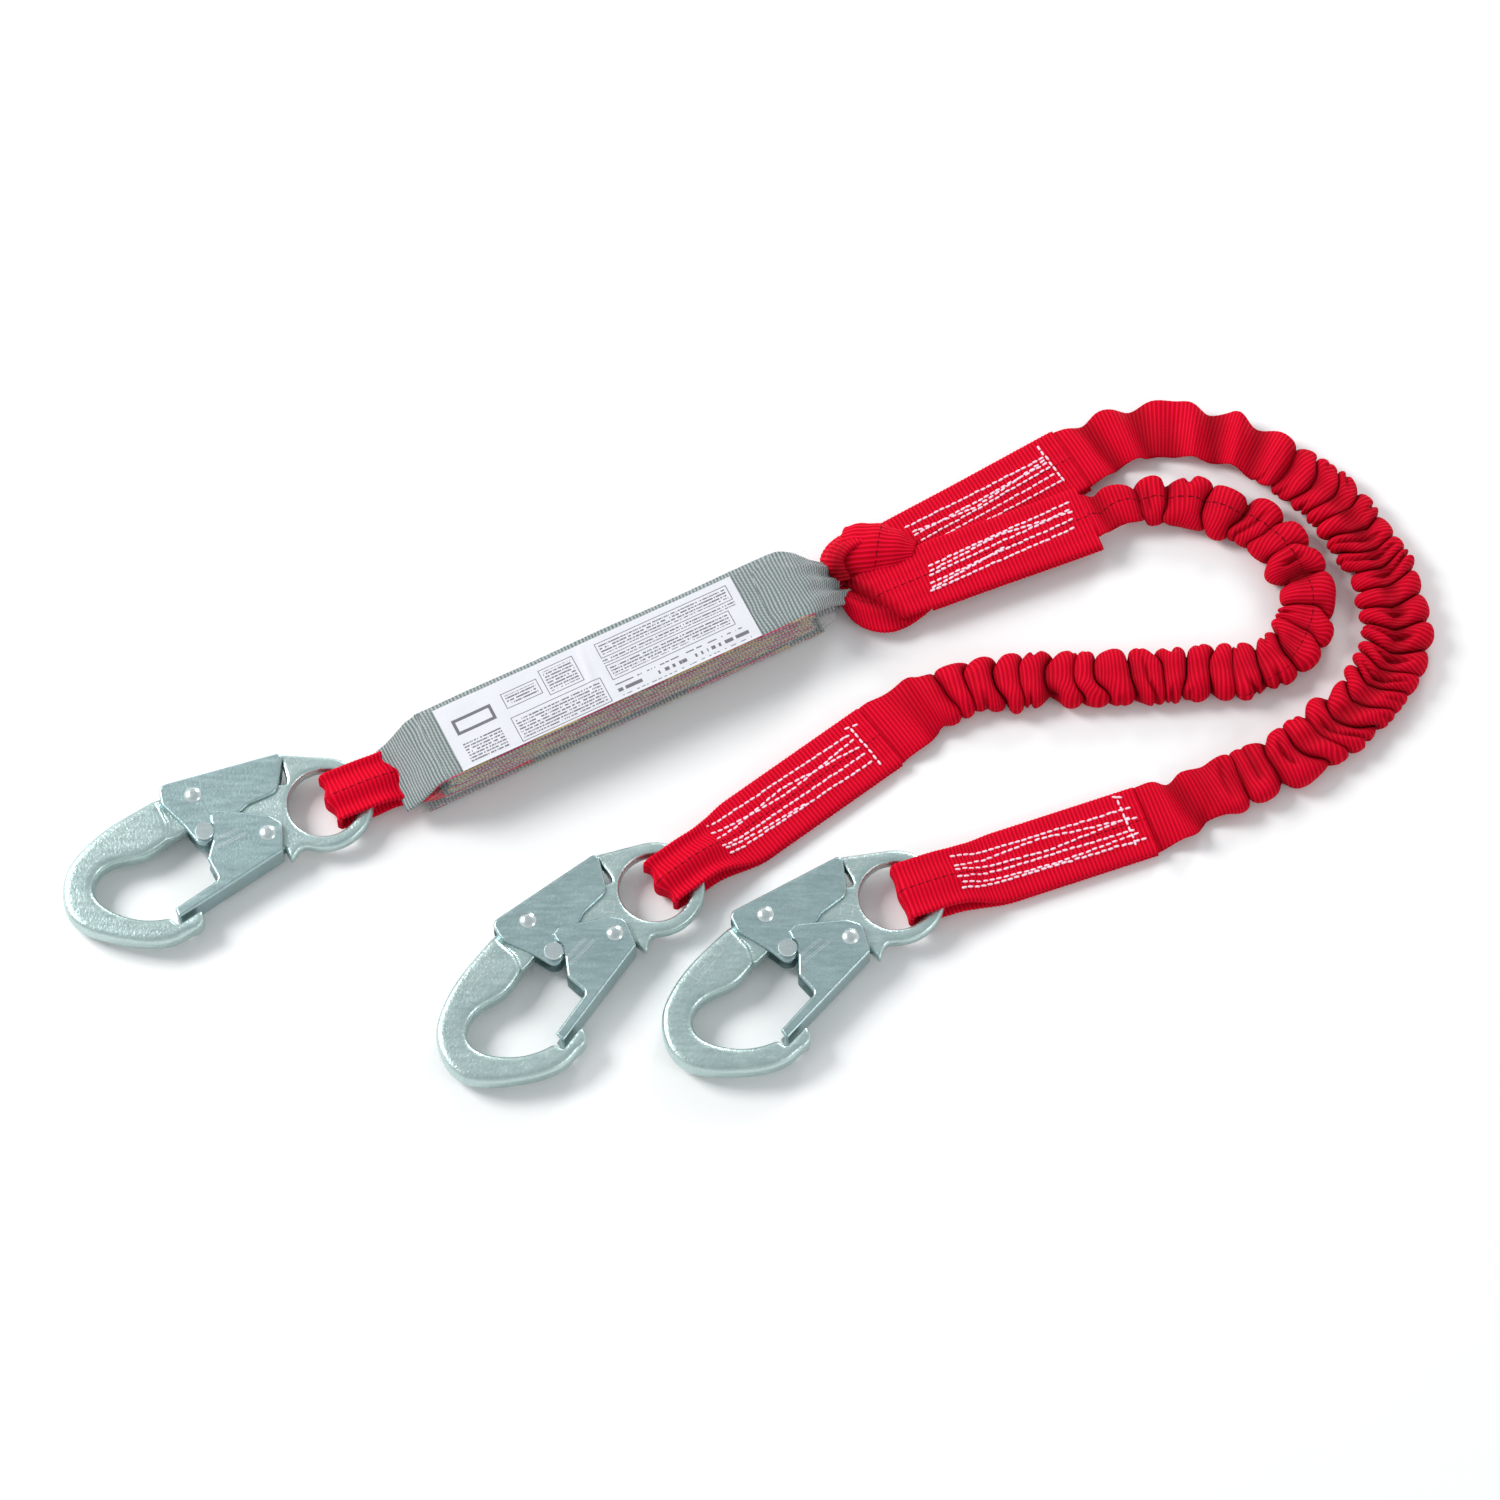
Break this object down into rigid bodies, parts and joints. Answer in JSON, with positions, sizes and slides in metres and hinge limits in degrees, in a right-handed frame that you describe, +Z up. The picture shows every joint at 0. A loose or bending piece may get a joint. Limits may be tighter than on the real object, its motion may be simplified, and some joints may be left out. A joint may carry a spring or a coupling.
{
  "type": "shock absorbing lanyard",
  "caption": "Twin-leg elastic fall-arrest lanyard: folded tear-web shock pack, one harness hook, and two ruched stretch legs ending in self-locking snap hooks.",
  "frame": {"origin": "on the surface it lies on, under the centre of the box round all pieces except the two free stretch legs", "axes": "+X from the harness hook towards the far ends of the tabs, the longest way of the laid-out lanyard; +Y across it, away from the leg hooks; +Z up"},
  "size_m": [0.6195, 0.3412, 0.0306],
  "materials": {
    "red_webbing": "ribbed polyester webbing with a dark tracer thread",
    "white_thread": "bonded polyester lock stitch",
    "gray_webbing": "coarse woven polyester webbing",
    "clear_film": "clear heat-shrunk PVC film",
    "label_stock": null,
    "elastic": "covered rubber elastic strip",
    "forged_steel": "clear zinc plate on forged steel",
    "pressed_steel": "clear zinc plate on pressed sheet steel",
    "rivet_steel": "zinc plated, polished by heading",
    "spring_steel": "bright drawn spring wire"
  },
  "bodies": {
    "webbing": {"shrink_cover": "clear_film", "pack_label": "label_stock", "tear_web": "gray_webbing", "backup_strap": "gray_webbing", "pack_end_loop": "gray_webbing", "hook_loop": "red_webbing", "leg_a_top_tab": "red_webbing", "leg_a_top_stitching": "white_thread", "leg_b_top_tab": "red_webbing", "leg_b_top_stitching": "white_thread", "leg_a_end_tab": "red_webbing", "leg_a_end_stitching": "white_thread", "leg_b_end_tab": "red_webbing", "leg_b_end_stitching": "white_thread", "leg_a_jacket": "red_webbing", "leg_a_elastic": "elastic", "leg_b_jacket": "red_webbing", "leg_b_elastic": "elastic"},
    "hook_1": {"hook_1_body": "forged_steel", "hook_1_gate_rivet": "rivet_steel", "hook_1_lever_rivet": "rivet_steel"},
    "gate_1": {"hook_1_gate": "pressed_steel", "hook_1_gate_spring": "spring_steel"},
    "lever_1": {"hook_1_lever": "pressed_steel", "hook_1_lock_pin": "rivet_steel", "hook_1_lever_spring": "spring_steel"},
    "hook_2": {"hook_2_body": "forged_steel", "hook_2_gate_rivet": "rivet_steel", "hook_2_lever_rivet": "rivet_steel"},
    "gate_2": {"hook_2_gate": "pressed_steel", "hook_2_gate_spring": "spring_steel"},
    "lever_2": {"hook_2_lever": "pressed_steel", "hook_2_lock_pin": "rivet_steel", "hook_2_lever_spring": "spring_steel"},
    "hook_3": {"hook_3_body": "forged_steel", "hook_3_gate_rivet": "rivet_steel", "hook_3_lever_rivet": "rivet_steel"},
    "gate_3": {"hook_3_gate": "pressed_steel", "hook_3_gate_spring": "spring_steel"},
    "lever_3": {"hook_3_lever": "pressed_steel", "hook_3_lock_pin": "rivet_steel", "hook_3_lever_spring": "spring_steel"}
  },
  "joints": [
    {"name": "hook_1_swivel", "type": "hinge", "parent": "webbing", "child": "hook_1", "pos_m": [-0.1304, -0.028, 0.0086], "axis": [0, 0, 1], "range_deg": [-44, 32]},
    {"name": "lever_1_press", "type": "hinge", "parent": "hook_1", "child": "lever_1", "pos_m": [-0.18931, -0.02514, 0.0086], "axis": [0, 0, -1], "range_deg": [0, 18], "stiffness_Nm_per_rad": 0.6, "springref_deg": -17.19},
    {"name": "gate_1_open", "type": "hinge", "parent": "hook_1", "child": "gate_1", "pos_m": [-0.1548, -0.04444, 0.0086], "axis": [0, 0, -1], "range_deg": [0, 23.4], "stiffness_Nm_per_rad": 0.4, "springref_deg": -20.05},
    {"name": "hook_2_swivel", "type": "hinge", "parent": "webbing", "child": "hook_2", "pos_m": [0.0192, -0.0695, 0.0086], "axis": [0, 0, 1], "range_deg": [-48, 2]},
    {"name": "lever_2_press", "type": "hinge", "parent": "hook_2", "child": "lever_2", "pos_m": [-0.03735, -0.08627, 0.0086], "axis": [0, 0, -1], "range_deg": [0, 18], "stiffness_Nm_per_rad": 0.6, "springref_deg": -17.19},
    {"name": "gate_2_open", "type": "hinge", "parent": "hook_2", "child": "gate_2", "pos_m": [0.0016, -0.09308, 0.0086], "axis": [0, 0, -1], "range_deg": [0, 23.4], "stiffness_Nm_per_rad": 0.4, "springref_deg": -20.05},
    {"name": "hook_3_swivel", "type": "hinge", "parent": "webbing", "child": "hook_3", "pos_m": [0.1269, -0.0735, 0.0086], "axis": [0, 0, 1], "range_deg": [-1.5, 38]},
    {"name": "lever_3_press", "type": "hinge", "parent": "hook_3", "child": "lever_3", "pos_m": [0.06877, -0.08346, 0.0086], "axis": [0, 0, -1], "range_deg": [0, 18], "stiffness_Nm_per_rad": 0.6, "springref_deg": -17.19},
    {"name": "gate_3_open", "type": "hinge", "parent": "hook_3", "child": "gate_3", "pos_m": [0.10663, -0.09483, 0.0086], "axis": [0, 0, -1], "range_deg": [0, 23.4], "stiffness_Nm_per_rad": 0.4, "springref_deg": -20.05}
  ],
  "couplings": [
    {"joint": "gate_1_open", "follows": "lever_1_press", "ratio": 1.3},
    {"joint": "gate_2_open", "follows": "lever_2_press", "ratio": 1.3},
    {"joint": "gate_3_open", "follows": "lever_3_press", "ratio": 1.3}
  ]
}
